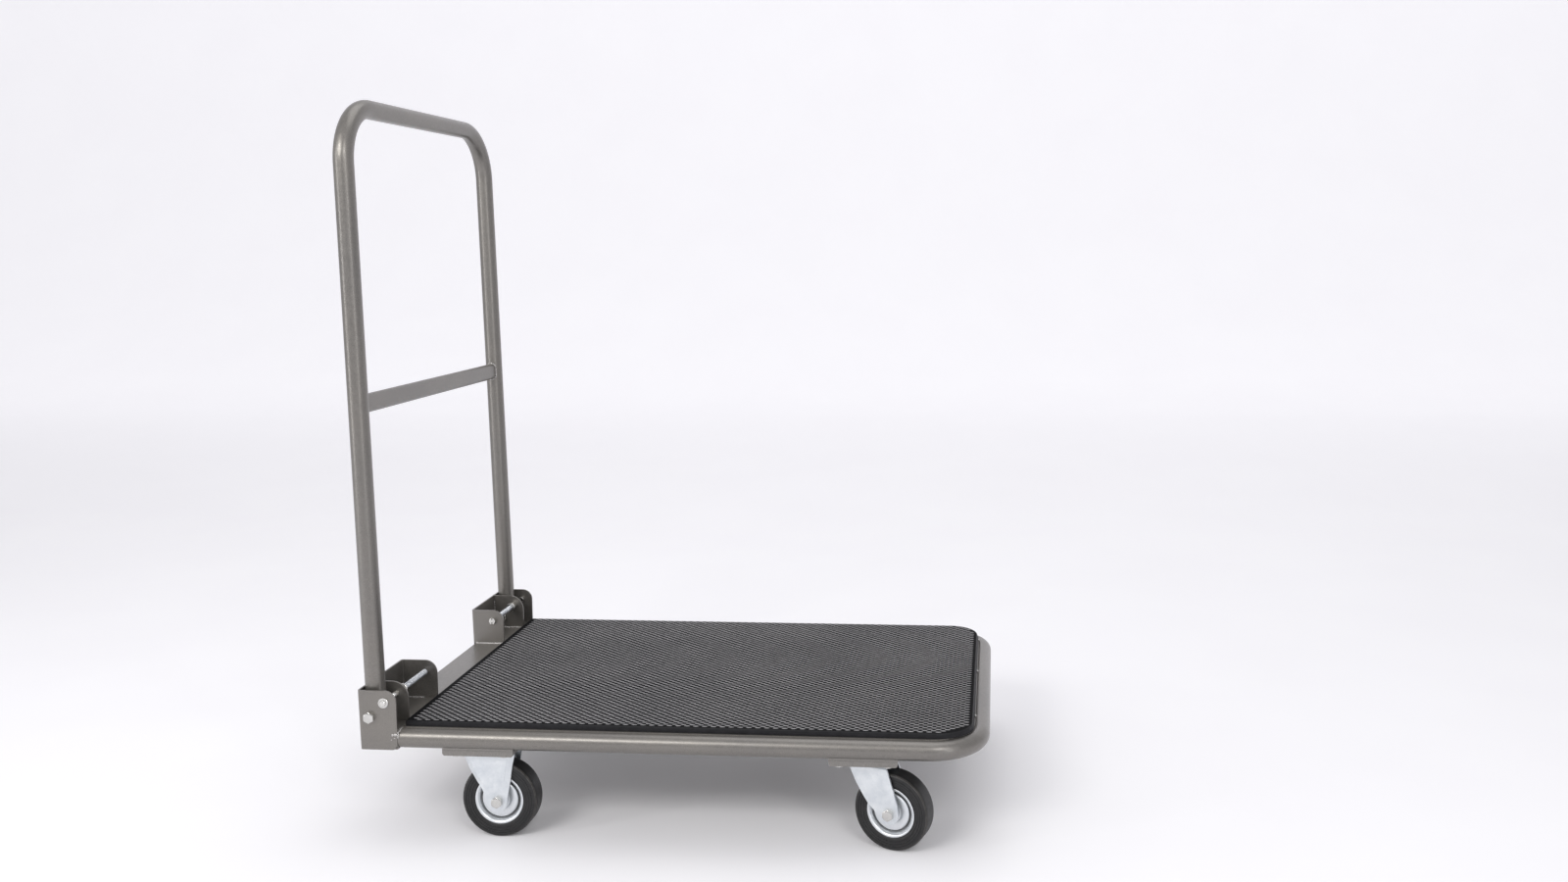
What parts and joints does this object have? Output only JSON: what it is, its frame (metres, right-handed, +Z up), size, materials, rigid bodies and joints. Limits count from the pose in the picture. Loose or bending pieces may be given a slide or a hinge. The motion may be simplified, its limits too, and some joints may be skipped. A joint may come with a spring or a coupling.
{
  "type": "folding platform cart",
  "caption": "Flat four-wheeled platform cart with a ribbed rubber deck mat on a bent tube frame, a U-shaped folding push handle, sprung lock rods, rigid rear and swivel front casters.",
  "frame": {"origin": "centre of the cart's footprint, on the floor under the wheels", "axes": "+X towards the front, away from the handle; +Y towards the cart's left; +Z up"},
  "size_m": [0.8298, 0.5106, 0.9671],
  "materials": {
    "paint": "satin warm grey powder coat",
    "fork_zinc": "dull bright zinc plate",
    "rim_zinc": "bright zinc plate",
    "bolt_zinc": "zinc plated fastener",
    "spring_steel": "zinc plated spring wire",
    "mat_rubber": "moulded rice-grain emboss",
    "tyre_rubber": "black rubber",
    "nylon": "matte"
  },
  "bodies": {
    "deck": {"frame_tube": "paint", "rear_member": "paint", "rear_caster_pan": "paint", "front_caster_pan": "paint", "deck_crossbars": "paint", "deck_panel": "paint", "deck_mat": "mat_rubber", "right_bracket": "paint", "left_bracket": "paint", "right_leg_plate": "paint", "left_leg_plate": "paint", "lock_guide_caps": "bolt_zinc", "lock_guide_bushes": "bolt_zinc", "pivot_bolts": "bolt_zinc", "pivot_nuts": "bolt_zinc", "pivot_spacers": "bolt_zinc", "right_lock_spring": "spring_steel", "left_lock_spring": "spring_steel", "right_rear_fork": "fork_zinc", "left_rear_fork": "fork_zinc", "rear_axle_bolts": "bolt_zinc", "rear_axle_nuts": "bolt_zinc", "caster_studs": "bolt_zinc", "caster_nuts": "bolt_zinc", "front_top_plates": "fork_zinc", "swivel_kingpins": "bolt_zinc", "swivel_balls": "bolt_zinc"},
    "handle": {"handle_tube": "paint", "handle_crossbar": "paint", "leg_bushes": "nylon"},
    "right_lock": {"right_lock_rod": "bolt_zinc", "right_lock_collar": "bolt_zinc", "right_lock_pull": "bolt_zinc"},
    "left_lock": {"left_lock_rod": "bolt_zinc", "left_lock_collar": "bolt_zinc", "left_lock_pull": "bolt_zinc"},
    "right_swivel": {"right_front_fork": "fork_zinc", "right_swivel_seal": "fork_zinc", "right_front_axle_bolt": "bolt_zinc", "right_front_axle_nut": "bolt_zinc"},
    "left_swivel": {"left_front_fork": "fork_zinc", "left_swivel_seal": "fork_zinc", "left_front_axle_bolt": "bolt_zinc", "left_front_axle_nut": "bolt_zinc"},
    "right_rear_wheel": {"right_rear_tyre": "tyre_rubber", "right_rear_rim": "rim_zinc", "right_rear_bush": "bolt_zinc"},
    "right_front_wheel": {"right_front_tyre": "tyre_rubber", "right_front_rim": "rim_zinc", "right_front_bush": "bolt_zinc"},
    "left_rear_wheel": {"left_rear_tyre": "tyre_rubber", "left_rear_rim": "rim_zinc", "left_rear_bush": "bolt_zinc"},
    "left_front_wheel": {"left_front_tyre": "tyre_rubber", "left_front_rim": "rim_zinc", "left_front_bush": "bolt_zinc"}
  },
  "joints": [
    {"name": "handle_fold", "type": "hinge", "parent": "deck", "child": "handle", "pos_m": [-0.38512, 0, 0.166], "axis": [0, 1, 0], "range_deg": [0, 85.4]},
    {"name": "right_lock_slide", "type": "slide", "parent": "deck", "child": "right_lock", "axis": [0, 1, 0], "range_m": [0, 0.026], "deforming": ["right_lock_spring"]},
    {"name": "left_lock_slide", "type": "slide", "parent": "deck", "child": "left_lock", "axis": [0, -1, 0], "range_m": [0, 0.026], "deforming": ["left_lock_spring"]},
    {"name": "right_front_swivel", "type": "hinge", "parent": "deck", "child": "right_swivel", "pos_m": [0.26428, -0.2068, 0.112], "axis": [0, 0, 1], "continuous": true},
    {"name": "left_front_swivel", "type": "hinge", "parent": "deck", "child": "left_swivel", "pos_m": [0.26428, 0.2068, 0.112], "axis": [0, 0, 1], "continuous": true},
    {"name": "right_rear_wheel_spin", "type": "hinge", "parent": "deck", "child": "right_rear_wheel", "pos_m": [-0.22512, -0.2124, 0.05], "axis": [0, 1, 0], "continuous": true},
    {"name": "left_rear_wheel_spin", "type": "hinge", "parent": "deck", "child": "left_rear_wheel", "pos_m": [-0.22512, 0.2124, 0.05], "axis": [0, 1, 0], "continuous": true},
    {"name": "right_front_wheel_spin", "type": "hinge", "parent": "right_swivel", "child": "right_front_wheel", "pos_m": [0.29281, -0.21607, 0.05], "axis": [0.309, 0.9511, 0], "continuous": true},
    {"name": "left_front_wheel_spin", "type": "hinge", "parent": "left_swivel", "child": "left_front_wheel", "pos_m": [0.29281, 0.21607, 0.05], "axis": [-0.309, 0.9511, 0], "continuous": true}
  ],
  "couplings": [
    {"joint": "right_lock_slide", "follows": "handle_fold", "m_per_rad": 0.0172},
    {"joint": "left_lock_slide", "follows": "handle_fold", "m_per_rad": 0.0172}
  ]
}
